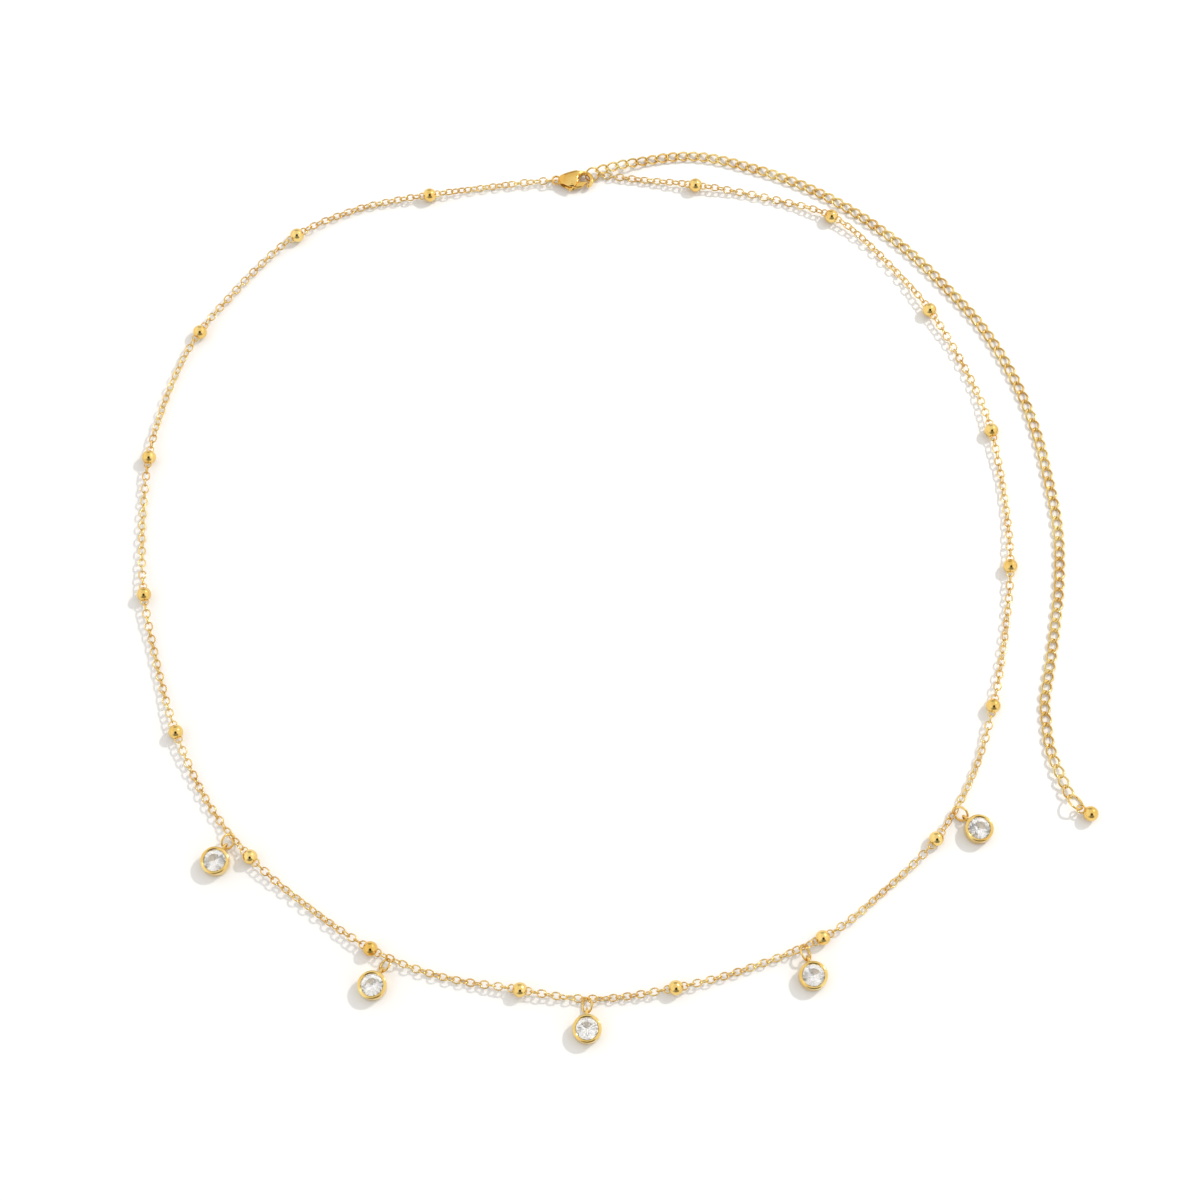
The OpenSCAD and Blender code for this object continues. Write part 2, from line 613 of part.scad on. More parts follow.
// Ball at the extender's end, with its eye soldered to it
module extender_ball() {
    reach = cross_n(end_ball_d / 2, end_ring_d, end_ring_wire, end_lean);
    k = end_side * cross_k(end_ball_d / 2, end_ring_d, end_ring_wire, end_lean);
    p = end_ring_at + reach * heading(end_dir) + k * sin(end_lean) * heading(end_dir + 90);
    color("gold")
        translate([p[0], p[1], end_ball_d / 2])
        rotate([0, 0, end_ball_dir]) {
            wire_ring(2 * end_eye_r + end_eye_wire, end_eye_wire);
            translate([end_eye_out, 0, 0]) sphere(d = end_ball_d);
        }
}

chain_left_half();
chain_right_half();
bead(1);  // bead_01
bead(2);  // bead_02
bead(3);  // bead_03
bead(4);  // bead_04
bead(5);  // bead_05
bead(6);  // bead_06
bead(7);  // bead_07
bead(8);  // bead_08
bead(9);  // bead_09
bead(10);  // bead_10
bead(11);  // bead_11
bead(12);  // bead_12
bead(13);  // bead_13
bead(14);  // bead_14
bead(15);  // bead_15
bead(16);  // bead_16
bead(17);  // bead_17
bead(18);  // bead_18
drop_ring(0);  // drop_ring_1
drop_ring(1);  // drop_ring_2
drop_ring(2);  // drop_ring_3
drop_ring(3);  // drop_ring_4
drop_ring(4);  // drop_ring_5
drop_setting(0);  // drop_setting_1
drop_setting(1);  // drop_setting_2
drop_setting(2);  // drop_setting_3
drop_setting(3);  // drop_setting_4
drop_setting(4);  // drop_setting_5
drop_stone(0);  // drop_stone_1
drop_stone(1);  // drop_stone_2
drop_stone(2);  // drop_stone_3
drop_stone(3);  // drop_stone_4
drop_stone(4);  // drop_stone_5
clasp_body();
clasp_lever();
clasp_tail_ring();
clasp_hook_ring();
extender_chain();
extender_ring();
extender_ball();
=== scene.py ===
import math

import bpy
import numpy as np
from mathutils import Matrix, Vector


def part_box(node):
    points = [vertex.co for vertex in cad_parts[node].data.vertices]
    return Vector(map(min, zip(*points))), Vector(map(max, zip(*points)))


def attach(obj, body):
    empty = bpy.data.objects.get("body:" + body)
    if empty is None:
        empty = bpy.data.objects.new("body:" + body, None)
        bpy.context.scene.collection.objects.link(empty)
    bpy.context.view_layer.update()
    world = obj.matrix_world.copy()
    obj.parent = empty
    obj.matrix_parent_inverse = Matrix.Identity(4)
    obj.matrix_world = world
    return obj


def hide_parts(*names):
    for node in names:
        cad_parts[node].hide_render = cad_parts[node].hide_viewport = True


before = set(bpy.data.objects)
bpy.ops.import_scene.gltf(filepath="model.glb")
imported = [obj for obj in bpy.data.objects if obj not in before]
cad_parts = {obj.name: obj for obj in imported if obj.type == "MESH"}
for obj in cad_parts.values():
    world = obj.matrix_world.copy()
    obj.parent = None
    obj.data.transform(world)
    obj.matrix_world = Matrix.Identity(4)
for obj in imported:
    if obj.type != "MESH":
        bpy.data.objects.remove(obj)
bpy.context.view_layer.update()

# Camera: it looks down on the chain from the side of the drops, a little off the vertical,
# from about 0.6 m away. Lengths are in millimetres until they go into Blender.
MM = 0.001  # one millimetre in Blender's metres
VIEW_HEIGHT = math.radians(70.65)
VIEW_DISTANCE = 597.75
VIEW_CENTRE = np.array([-2.79, -7.57, 0.0])
LENS = 72.2
SENSOR = 36.0
NEAREST_SEEN = 10.0

view_back = np.array([0.0, -math.cos(VIEW_HEIGHT), math.sin(VIEW_HEIGHT)])
camera_data = bpy.data.cameras.new("photo_camera")
camera_data.sensor_width = SENSOR
camera_data.lens = LENS
camera_data.clip_start = NEAREST_SEEN * MM
camera = bpy.data.objects.new("photo_camera", camera_data)
camera.location = (VIEW_CENTRE + VIEW_DISTANCE * view_back) * MM
camera.rotation_euler = (math.pi / 2 - VIEW_HEIGHT, 0, 0)
bpy.context.collection.objects.link(camera)
bpy.context.scene.camera = camera

# Cable chain: oval links of round brass wire, each bent, closed and soldered, then gold
# plated in one length. The loop lies as it fell, and rises a little to every ball and ring.
# Its route starts at the clasp's tail and ends at the ring in the clasp's hook.
CHAIN_ROUTE = [
    (-32, 107.5), (-46, 105), (-66.5, 101), (-84.5, 91), (-99, 75), (-110, 57), (-116, 36),
    (-117.5, 15), (-116, -5.5), (-111.5, -25), (-105.5, -43), (-97, -60), (-85.5, -74),
    (-71.5, -85.5), (-56.5, -95.5), (-41, -101.5), (-24.5, -104.5), (-5, -107), (15, -104.5),
    (33, -99.5), (51, -92), (64, -82), (77.5, -69), (87.5, -52.5), (93.5, -34), (97.5, -15),
    (99.5, 4.5), (98.5, 25), (94.5, 45.5), (86, 65), (74.5, 82.5), (59.5, 97.5), (40, 104.6),
    (20, 108)]
ROUTE_STEPS = 8
LINK_LENGTH = 2.5
LINK_WIDTH = 2.1
LINK_WIRE = 0.32
LINK_WIRE_SEEN = 0.37  # drawn a little thicker inwards, as the photograph shows it
LINK_PLAY = 0.15
LINK_POINTS = 12
LINK_SIDES = 5
LINKS_PER_GAP = 19
LEAD_LINKS_TAIL = 17
LEAD_LINKS_HOOK = 14
LEFT_GAPS = 10  # gaps between balls, the lead at the clasp included, up to the middle
STATIONS = 18
BALL_D = 3.6
EYE_REACH = 1.25
SETTLE_START = 3.0
SETTLE_LENGTH = 14.0

link_pitch = LINK_LENGTH - 2 * LINK_WIRE - LINK_PLAY
link_bow = (LINK_LENGTH - LINK_WIRE) / 2
eye_r = (LINK_WIDTH - LINK_WIRE) / 2
eye_bow = BALL_D / 2 + EYE_REACH - LINK_WIRE / 2
first_link = eye_bow - LINK_WIRE - LINK_PLAY + link_bow
station_gap = (LINKS_PER_GAP - 1) * link_pitch + 2 * first_link
tail_lead = (LEAD_LINKS_TAIL - 1) * link_pitch + first_link
hook_lead = (LEAD_LINKS_HOOK - 1) * link_pitch + first_link
chain_length = tail_lead + (STATIONS - 1) * station_gap + hook_lead
chain_r = LINK_WIDTH / 2


def linear(code):
    """An sRGB hex colour as linear red, green, blue and alpha."""
    rgb = np.array([int(code[i:i + 2], 16) for i in (1, 3, 5)]) / 255
    rgb = np.where(rgb <= 0.04045, rgb / 12.92, ((rgb + 0.055) / 1.055) ** 2.4)
    return (*rgb, 1.0)


def add_node(material, kind, links=None, **settings):
    """Adds a node, sets its properties or input sockets by name, and links its inputs."""
    node = material.node_tree.nodes.new(kind)
    for name, value in settings.items():
        if hasattr(node, name):
            setattr(node, name, value)
        else:
            node.inputs[name.replace("_", " ")].default_value = value
    for name, output in (links or {}).items():
        material.node_tree.links.new(output, node.inputs[name])
    return node


PLATING_DRIFT = 6.0  # size of the patches in which the plating's colour drifts
TUMBLING_GRAIN = 0.4  # drawn coarser than real tumbling marks, which are too fine to show
TUMBLING_DEPTH = 0.02


def plated_gold(name, pale, deep, roughness):
    """Brass, tumbled bright and plated with yellow gold: a mirror with a slow drift from pale to
    deep yellow where the plating is thinner, and a faint haze and ripple from the tumbling."""
    material = bpy.data.materials.new(name)
    material.use_nodes = True
    material.node_tree.nodes.clear()
    place = add_node(material, "ShaderNodeTexCoord").outputs["Object"]
    drift = add_node(material, "ShaderNodeTexNoise", {"Vector": place}, Detail=2.0,
                     Scale=1 / (PLATING_DRIFT * MM))
    haze = add_node(material, "ShaderNodeTexNoise", {"Vector": place}, Detail=4.0,
                    Scale=1 / (TUMBLING_GRAIN * MM))
    tone = add_node(material, "ShaderNodeValToRGB", {"Fac": drift.outputs["Fac"]})
    for stop, position, colour in zip(tone.color_ramp.elements, (0.35, 0.65), (pale, deep)):
        stop.position = position
        stop.color = linear(colour)
    dulling = add_node(material, "ShaderNodeMapRange", {"Value": haze.outputs["Fac"]},
                       To_Min=roughness * 0.7, To_Max=roughness * 1.5)
    ripple = add_node(material, "ShaderNodeBump", {"Height": haze.outputs["Fac"]}, Strength=0.05,
                      Distance=TUMBLING_DEPTH * MM)
    surface = add_node(
        material, "ShaderNodeBsdfPrincipled",
        {"Base Color": tone.outputs["Color"], "Roughness": dulling.outputs["Result"],
         "Normal": ripple.outputs["Normal"]}, Metallic=1.0)
    add_node(material, "ShaderNodeOutputMaterial", {"Surface": surface.outputs["BSDF"]})
    return material


def smooth_curve(rows, at):
    """Values of a smooth curve through rows of numbers, at places counted in rows: a cubic through
    every row, whose slope there is half the step between the rows on either side of it."""
    v = np.array(rows, float)
    i = np.minimum(at.astype(int), len(v) - 2)
    t = (at - i)[:, None]
    v = np.vstack([2 * v[0] - v[1], v, 2 * v[-1] - v[-2]])
    a, b, c, d = (v[i + k] for k in range(4))
    return 0.5 * (2 * b + (c - a) * t + (2 * a - 5 * b + 4 * c - d) * t ** 2
                  + (3 * b - a - 3 * c + d) * t ** 3)


def smooth_route(points):
    """A smooth curve through plan points, sampled ROUTE_STEPS times a span. Gives the distance
    along it, x and y."""
    curve = smooth_curve(points, np.arange((len(points) - 1) * ROUTE_STEPS + 1) / ROUTE_STEPS)
    steps = np.hypot(*np.diff(curve, axis=0).T)
    return np.concatenate([[0], np.cumsum(steps)]), curve[:, 0], curve[:, 1]


def on_route(route, s):
    """Points of a route at distances s along it."""
    return np.stack([np.interp(s, route[0], route[1]), np.interp(s, route[0], route[2])], -1)


def route_heading(route, s):
    """Headings of a route in radians, taken over a millimetre round each distance s."""
    d = on_route(route, s + 0.5) - on_route(route, s - 0.5)
    return np.arctan2(d[..., 1], d[..., 0])


def settle(distance):
    """1 near a ball or ring, 0 where the chain lies on the surface, a half cosine between."""
    f = np.clip((np.abs(distance) - SETTLE_START) / (SETTLE_LENGTH - SETTLE_START), 0, 1)
    return 0.5 + 0.5 * np.cos(np.pi * f)


def box_centre(node):
    """Middle of a CAD node's box, in millimetres."""
    low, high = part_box(node)
    return (np.array(low) + np.array(high)) / 2 / MM


def level(degrees):
    """Level unit vector at an angle from +X."""
    return np.array([math.cos(math.radians(degrees)), math.sin(math.radians(degrees)), 0.0])


def ring_axes(lean, turn, side=1):
    """Unit vectors in the plane of a ring that stands on its edge and leans over: the level one
    along its turn, and the upward one, tipped to the side by the lean."""
    lean = math.radians(lean)
    return level(turn), side * math.sin(lean) * level(turn + 90) + [0, 0, math.cos(lean)]


def ring_point(centre, outer_d, wire, lean, turn, fan):
    """Point on the wire of a leaning ring, an angle fan above its far end."""
    out, up = ring_axes(lean, turn)
    fan = math.radians(fan)
    return centre + (outer_d - wire) / 2 * (math.cos(fan) * out + math.sin(fan) * up)


def beyond(ring_spot, target, bow, ring_wire, wire, play):
    """Middle of a link hung on a ring, so far towards the target that their wires just clear."""
    ahead = np.array(target[:2], float) - ring_spot[:2]
    step = bow - (ring_wire + wire) / 2 - play
    return np.append(ring_spot[:2] + step * ahead / np.linalg.norm(ahead), ring_spot[2])


def place_links(shape, route, height, s, rolls):
    """Copies of a closed centre line (K points along local x) at distances s along a route: each
    is rolled about its length, tilted up the height's slope there, turned to the route's heading
    and moved to its point. Slopes are taken over a millimetre, as headings are."""
    points = np.column_stack([on_route(route, s), height(s)])
    headings = route_heading(route, s)
    slopes = np.arctan(height(s + 0.5) - height(s - 0.5))
    ch, sh = np.cos(headings), np.sin(headings)
    cs, ss = np.cos(slopes), np.sin(slopes)
    cr, sr = np.cos(rolls), np.sin(rolls)
    along = np.stack([ch * cs, sh * cs, ss], -1)
    across = np.stack([-sh, ch, 0 * ch], -1)
    upward = np.cross(along, across)
    side = cr[:, None] * across + sr[:, None] * upward
    top = -sr[:, None] * across + cr[:, None] * upward
    return (points[:, None] + shape[None, :, 0:1] * along[:, None]
            + shape[None, :, 1:2] * side[:, None] + shape[None, :, 2:3] * top[:, None])


def grid_faces(rows, columns, copies=1, close_rows=True, close_columns=True):
    """Four-sided faces of a grid of rows by columns that joins up with itself where closed,
    repeated for every copy, with the outside on the left of the way round."""
    i, j = np.meshgrid(np.arange(rows - (not close_rows)), np.arange(columns - (not close_columns)),
                       indexing="ij")
    down, right = (i + 1) % rows, (j + 1) % columns
    quads = np.stack([i * columns + j, i * columns + right, down * columns + right,
                      down * columns + j], -1).reshape(-1, 4)
    return (quads + rows * columns * np.arange(copies)[:, None, None]).reshape(-1, 4)


def end_faces(count, sides):
    """Flat faces that close the first and the last ring of a run of rings, count points in all."""
    return [list(range(sides))[::-1], list(range(count - sides, count))]


def wire_round(centres, wire, sides):
    """Round wire along closed centre lines (N, K, 3): at each point a circle of half the wire's
    thickness, square to the line, that starts on the side away from the line's own middle."""
    ahead = np.roll(centres, -1, 1) - np.roll(centres, 1, 1)
    ahead /= np.linalg.norm(ahead, axis=-1, keepdims=True)
    out = centres - centres.mean(1, keepdims=True)
    out -= (out * ahead).sum(-1, keepdims=True) * ahead
    out /= np.linalg.norm(out, axis=-1, keepdims=True)
    up = np.cross(ahead, out)
    a = 2 * np.pi * np.arange(sides) / sides
    ring = np.cos(a)[:, None] * out[:, :, None] + np.sin(a)[:, None] * up[:, :, None]
    points = (centres[:, :, None] + wire / 2 * ring).reshape(-1, 3)
    return points, grid_faces(centres.shape[1], sides, len(centres))


def make_piece(name, parts, material, body, node):
    """One smooth-shaded object from pairs of points in mm and faces. It rides on a body, in place
    of the CAD node of the same piece."""
    starts = np.cumsum([0] + [len(points) for points, _ in parts]).tolist()
    corners = [[corner + start for corner in face] for (_, faces), start in zip(parts, starts)
               for face in np.asarray(faces, dtype=object).tolist()]
    mesh = bpy.data.meshes.new(name)
    mesh.from_pydata(np.vstack([points for points, _ in parts]) * MM, [], corners)
    mesh.polygons.foreach_set("use_smooth", np.full(len(mesh.polygons), True))
    mesh.materials.append(material)
    mesh.update()
    piece = bpy.data.objects.new(name, mesh)
    bpy.context.collection.objects.link(piece)
    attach(piece, body)
    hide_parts(node)


def link_shape():
    """Centre line of an oval link: a circle's two halves, drawn apart along x."""
    a = 2 * np.pi * np.arange(LINK_POINTS) / LINK_POINTS
    c = np.round(np.cos(a), 6)
    r = (LINK_WIDTH - LINK_WIRE_SEEN) / 2
    apart = (LINK_LENGTH - LINK_WIDTH) / 2
    return np.stack([np.cos(a) * r + apart * np.sign(c), r * np.sin(a), 0 * a], -1)


# Rings that the chain hangs on, given here because its ends follow from them: outer diameter
# and wire, lean from upright, turn of the far end and the fan of the chain's spot above it
TAIL_RING = {"outer_d": 3.4, "wire": 0.46, "lean": 30, "turn": 184}
HOOK_RING = {"outer_d": 4.2, "wire": 0.46, "lean": 36, "turn": 24}
HOOK_FAN_LOW = -26
RING_PLAY = 0.14
tail_spot = ring_point(box_centre("clasp_tail_ring"), fan=0, **TAIL_RING)
hook_spot = ring_point(box_centre("clasp_hook_ring"), fan=HOOK_FAN_LOW, **HOOK_RING)
tail_link = beyond(tail_spot, CHAIN_ROUTE[0], link_bow, TAIL_RING["wire"], LINK_WIRE, RING_PLAY)
hook_link = beyond(hook_spot, CHAIN_ROUTE[-1], link_bow, HOOK_RING["wire"], LINK_WIRE, RING_PLAY)
chain = smooth_route([tail_link[:2]] + CHAIN_ROUTE + [hook_link[:2]])
chain_span = chain[0][-1]
station_s = (tail_lead + np.arange(STATIONS) * station_gap) * chain_span / chain_length


def chain_height(s):
    """Height of the chain's middle line at distances s along its route."""
    near_ball = settle(s[..., None] - station_s).max(-1)
    return (chain_r + (BALL_D / 2 - chain_r) * near_ball + (tail_link[2] - chain_r) * settle(s)
            + (hook_link[2] - chain_r) * settle(s - chain_span))


# Drops: the ball that one hangs beside, links counted from it, and the rolls in degrees that
# the links near it are held at, from the second one beyond the drop towards the ball
HELD_BEYOND = 2
DROPS = [
    (7, -3, (75, 140, 50, 140, 60)),
    (8, 2, (40, 120, 30, 120)),
    (9, 8, (125, 10, 120, 10, 130, 70)),
    (11, -2, (155, 30, 140, 50)),
    (12, 4, (158, 118, 40, 140, 40, 120))]
drop_s = np.array([station_s[ball - 1] + np.sign(n) * (first_link + (abs(n) - 1) * link_pitch)
                   for ball, n, _ in DROPS])

# How far the middle of a gap has rolled over as it lies changes like a sine from gap to gap. The
# roll of the link on a clasp ring is its own, and has gone over into the gap's after some links.
LYING_ROLL = 40.0
LYING_STEP = 2.4  # radians from one gap to the next
LYING_START = 0.8
HOOK_END_ROLL = 42
ROLL_EASE = 6


def gap_links(k):
    """Distances and rolls of the links between ball k and the next one (0 and 18 are the ends).
    Every other link stands on its edge, and the ones near a drop are held at its own rolls."""
    start = station_s[k - 1] + first_link if k else 0
    end = station_s[k] - first_link if k < STATIONS else chain_span
    count = {0: LEAD_LINKS_TAIL, STATIONS: LEAD_LINKS_HOOK}.get(k, LINKS_PER_GAP)
    last = count - 1
    index = np.arange(count)
    sway = LYING_ROLL * np.sin(np.pi * index / last) * math.sin(LYING_STEP * k + LYING_START)
    rolls = np.where(index % 2 == 0, 90.0, 0.0) + sway
    if k == 0:
        rolls += np.interp(index, [0, ROLL_EASE], [-TAIL_RING["lean"] - 90, 0])
    if k == STATIONS:
        rolls = rolls[::-1] + np.interp(index, [last - ROLL_EASE, last], [0, HOOK_END_ROLL - 90])
    s = np.interp(index, [0, last], [start, end])
    for (ball, n, held), middle in zip(DROPS, drop_s):
        if k == (ball if n > 0 else ball - 1):
            hung = n - 1 if n > 0 else count + n
            s = np.interp(index, [0, hung - 1, hung, hung + 1, last],
                          [start, middle - link_pitch, middle, middle + link_pitch, end])
            rolls[hung - np.sign(n) * (np.arange(len(held)) - HELD_BEYOND)] = held
    return s, np.radians(rolls)


chain_gold = plated_gold("plated_gold_chain", "#F0D286", "#DFB360", 0.10)
for half, gaps in (("left", range(LEFT_GAPS)), ("right", range(LEFT_GAPS, STATIONS + 1))):
    s, rolls = (np.concatenate(v) for v in zip(*(gap_links(k) for k in gaps)))
    centres = place_links(link_shape(), chain, chain_height, s, rolls)
    make_piece("cable_links_" + half, [wire_round(centres, LINK_WIRE_SEEN, LINK_SIDES)],
               chain_gold, "chain", f"chain_{half}_half")

# Ball stations: balls turned from brass, each with a link end soldered into both sides as its
# eyes, plated with the chain.
BALL_RINGS = 28
BALL_SEGMENTS = 40
EYE_POINTS = 28
EYE_SIDES = 10
UP = np.array([0.0, 0.0, 1.0])


def ball_surface(centre, radius):
    """Sphere: rings of points at even angles from the bottom pole to the top one, closed by a
    small disc of faces at each pole."""
    lat = np.pi * (np.arange(BALL_RINGS) + 0.5) / BALL_RINGS
    lon = 2 * np.pi * np.arange(BALL_SEGMENTS) / BALL_SEGMENTS
    points = np.stack([np.sin(lat)[:, None] * np.cos(lon), np.sin(lat)[:, None] * np.sin(lon),
                       np.repeat(-np.cos(lat)[:, None], BALL_SEGMENTS, 1)], -1).reshape(-1, 3)
    points = np.vstack([points, [0, 0, -1], [0, 0, 1]]) * radius + centre
    bottom, top = len(points) - 2, len(points) - 1
    j = np.arange(BALL_SEGMENTS)
    right = (j + 1) % BALL_SEGMENTS
    last = (BALL_RINGS - 1) * BALL_SEGMENTS
    faces = grid_faces(BALL_RINGS, BALL_SEGMENTS, close_rows=False).tolist()
    faces += np.stack([right, j, 0 * j + bottom], -1).tolist()
    faces += np.stack([last + j, last + right, 0 * j + top], -1).tolist()
    return points, faces


def eye_line(centre, radius, across, upward):
    """Centre line of one round eye: a circle in the plane of two unit vectors."""
    a = 2 * np.pi * np.arange(EYE_POINTS) / EYE_POINTS
    return (centre + radius * (np.cos(a)[:, None] * across + np.sin(a)[:, None] * upward))[None]


ball_gold = plated_gold("plated_gold_ball", "#F1D386", "#E4B85E", 0.07)
for k in range(1, STATIONS + 1):
    centre = box_centre(f"bead_{k:02d}")
    along = level(np.degrees(route_heading(chain, station_s[k - 1])))
    parts = [ball_surface(centre, BALL_D / 2)]
    for side in (-1, 1):
        eye = eye_line(centre + side * (eye_bow - eye_r) * along, eye_r, along, np.cross(UP, along))
        parts.append(wire_round(eye, LINK_WIRE, EYE_SIDES))
    make_piece(f"ball_station_{k:02d}", parts, ball_gold, "chain", f"bead_{k:02d}")

# Jump rings of the drops: round wire wound on a rod, sawn through and closed, so that each
# shows the fine line of its saw cut.
DROP_RING = {"outer_d": 4.0, "wire": 0.55, "lean": 40}
DROP_SIDES = (-1, 1, 1, -1, 1)
DROP_SWINGS = (19, -7, 2, -8, -10)
DROP_CUTS = (95, 120, 145, 170, 195)
RING_POINTS = 56
RING_SIDES = 14
SAW_CUT = 0.05


def jump_ring(centre, cut, outer_d, wire, lean, turn, side=1):
    """Wire along a circle in the plane of a leaning ring's axes. It is open for the saw cut's
    width at the angle cut, and each end is closed by a flat face."""
    r = (outer_d - wire) / 2
    out, up = ring_axes(lean, turn, side)
    half_cut = SAW_CUT / r / 2
    a = math.radians(cut) + np.linspace(half_cut, 2 * np.pi - half_cut, RING_POINTS)
    radial = np.cos(a)[:, None] * out + np.sin(a)[:, None] * up
    normal = np.cross(-np.sin(a)[:, None] * out + np.cos(a)[:, None] * up, radial)
    b = 2 * np.pi * np.arange(RING_SIDES) / RING_SIDES
    points = (centre + r * radial[:, None] + wire / 2 * (np.cos(b)[:, None] * radial[:, None]
              + np.sin(b)[:, None] * normal[:, None])).reshape(-1, 3)
    faces = grid_faces(RING_POINTS, RING_SIDES, close_rows=False).tolist()
    return points, faces + end_faces(len(points), RING_SIDES)


ring_gold = plated_gold("plated_gold_ring", "#F0D286", "#E0B45E", 0.08)
drop_turns = np.degrees(route_heading(chain, drop_s)) - 90 + np.array(DROP_SWINGS)
for i, (turn, side, cut) in enumerate(zip(drop_turns, DROP_SIDES, DROP_CUTS), 1):
    ring = jump_ring(box_centre(f"drop_ring_{i}"), cut, turn=turn, side=side, **DROP_RING)
    make_piece(f"jump_ring_{i}", [ring], ring_gold, "chain", f"drop_ring_{i}")

# Settings: round collars turned from brass, with a loop soldered upright to the wall and a
# thin lip burnished over the stone's edge.
SETTING_D = 6.8
SETTING_H = 3.0
SETTING_SEGMENTS = 72
SETTING_LOOP_D = 2.65
SETTING_LOOP_WIRE = 0.6
SETTING_LOOP_SINK = 0.9
SETTING_LOOP_SIDES = 12
FOOT_ROUND = 0.3
LIP_HEIGHT = 0.28
LIP_OVER_STONE = 0.03
GIRDLE_DEPTH = 0.5
BORE_ABOVE_GIRDLE = 0.18
SEAT_BELOW_GIRDLE = 0.14
SEAT_DEPTH = 0.54
SEAT_SHARE = 0.74
STONE_D = 5.3
STONE_GAP = 0.1

stone_r = STONE_D / 2
setting_loop_out = SETTING_D / 2 + SETTING_LOOP_D / 2 - SETTING_LOOP_SINK


def collar_profile():
    """Radius and height of the collar's wall, from the inside of its foot round the outside, over
    the lip and down the bore to the seat under the stone. The foot's edge is a quarter circle and
    the lip half an ellipse."""
    outer, lip = SETTING_D / 2, stone_r - LIP_OVER_STONE
    seat, bore = SEAT_SHARE * stone_r, stone_r + STONE_GAP
    a = np.linspace(0, np.pi / 2, 5)
    foot = zip(outer - FOOT_ROUND + FOOT_ROUND * np.sin(a), FOOT_ROUND - FOOT_ROUND * np.cos(a))
    a = np.linspace(0, np.pi, 13)
    top = zip((outer + lip) / 2 + (outer - lip) / 2 * np.cos(a),
              SETTING_H - LIP_HEIGHT + LIP_HEIGHT * np.sin(a))
    girdle = SETTING_H - GIRDLE_DEPTH
    ledge = girdle - SEAT_BELOW_GIRDLE
    inside = [(bore, girdle + BORE_ABOVE_GIRDLE), (bore, ledge), (seat, ledge - SEAT_DEPTH)]
    return np.array([(seat, 0.0), *foot, *top, *inside])


def turned(centre, profile, segments, hollow=True):
    """Surface of revolution about the upright axis through centre. It is closed along its
    profile, or, where it isn't hollow, by flat faces in its first and last rings."""
    a = 2 * np.pi * np.arange(segments) / segments
    points = np.stack([profile[:, 0:1] * np.cos(a), profile[:, 0:1] * np.sin(a),
                       np.repeat(profile[:, 1:2], segments, 1)], -1)
    faces = grid_faces(len(profile), segments, close_rows=hollow).tolist()
    if not hollow:
        faces += end_faces(points.shape[0] * segments, segments)
    return points.reshape(-1, 3) + centre, faces


setting_gold = plated_gold("plated_gold_setting", "#F3D88E", "#E6BE68", 0.08)
for i, turn in enumerate(drop_turns, 1):
    centre = box_centre(f"drop_stone_{i}") * [1, 1, 0]
    loop = eye_line(centre - setting_loop_out * level(turn) + SETTING_H / 2 * UP,
                    (SETTING_LOOP_D - SETTING_LOOP_WIRE) / 2, level(turn), UP)
    parts = [turned(centre, collar_profile(), SETTING_SEGMENTS),
             wire_round(loop, SETTING_LOOP_WIRE, SETTING_LOOP_SIDES)]
    make_piece(f"collar_setting_{i}", parts, setting_gold, "chain", f"drop_setting_{i}")

# Stones: clear lead glass, cut and polished in the round brilliant cut and open at the back.
# The cut stones of the frame are kept and given this glass.
GLASS_CLOUD = 1.2  # size of the clouds in the glass's colour


def cut_glass():
    """Clear glass that bends light strongly, with the faintest straw cloud in its colour. It
    throws no shadow, so that light falls through it into the open setting below."""
    material = bpy.data.materials.new("cut_glass")
    material.use_nodes = True
    material.node_tree.nodes.clear()
    place = add_node(material, "ShaderNodeTexCoord").outputs["Object"]
    cloud = add_node(material, "ShaderNodeTexNoise", {"Vector": place}, Detail=2.0,
                     Scale=1 / (GLASS_CLOUD * MM))
    tone = add_node(material, "ShaderNodeValToRGB", {"Fac": cloud.outputs["Fac"]})
    tone.color_ramp.elements[0].color = linear("#FBF9F3")
    tone.color_ramp.elements[1].color = linear("#FFFFFF")
    glass = add_node(material, "ShaderNodeBsdfPrincipled", {"Base Color": tone.outputs["Color"]},
                     Roughness=0.0, IOR=1.7, Transmission_Weight=0.9)
    path = add_node(material, "ShaderNodeLightPath")
    clear = add_node(material, "ShaderNodeBsdfTransparent")
    lit = add_node(material, "ShaderNodeMixShader", {
        0: path.outputs["Is Shadow Ray"], 1: glass.outputs["BSDF"], 2: clear.outputs["BSDF"]})
    add_node(material, "ShaderNodeOutputMaterial", {"Surface": lit.outputs["Shader"]})
    return material


stone_glass = cut_glass()
for i in range(1, len(DROPS) + 1):
    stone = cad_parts[f"drop_stone_{i}"]
    stone.data.materials.clear()
    stone.data.materials.append(stone_glass)

# Clasp body: a lobster clasp cast in brass by the lost-wax way and tumbled, so that every edge
# is soft: a hook that swells into the shoulder, two cheeks with the lever's slot between them,
# a bored tail, and a pin riveted through both cheeks.
CLASP_AT = np.array([-7.0, 109.3, 1.5])  # middle of the hook; the tail points towards -x
HOOK_INNER_R = 1.45
HOOK_OUTER_R = 2.6
HOOK_T = 1.2
CLASP_T = 3.0
SLOT_T = 1.1
PIVOT = np.array([-3.2, -1.4, 0])
RIVET_R = 0.44
RIVET_FLAT_R = 0.02
RIVET_FOOT_Z = 1.2
RIVET_SHOULDER_Z = 1.36
RIVET_DOME = 0.12
RIVET_SEGMENTS = 24
TAIL_BORE = np.array([-7.3, 0, 0])
TAIL_BORE_R = 0.88
TAIL_EYE_R = 1.35
TAIL_EYE_T = 0.6
SECTION_POINTS = 28
CLASP_STEPS = 56
EYE_SECTION_POINTS = 14
EYE_SEGMENTS = 48
EYE_SQUARENESS = 0.7
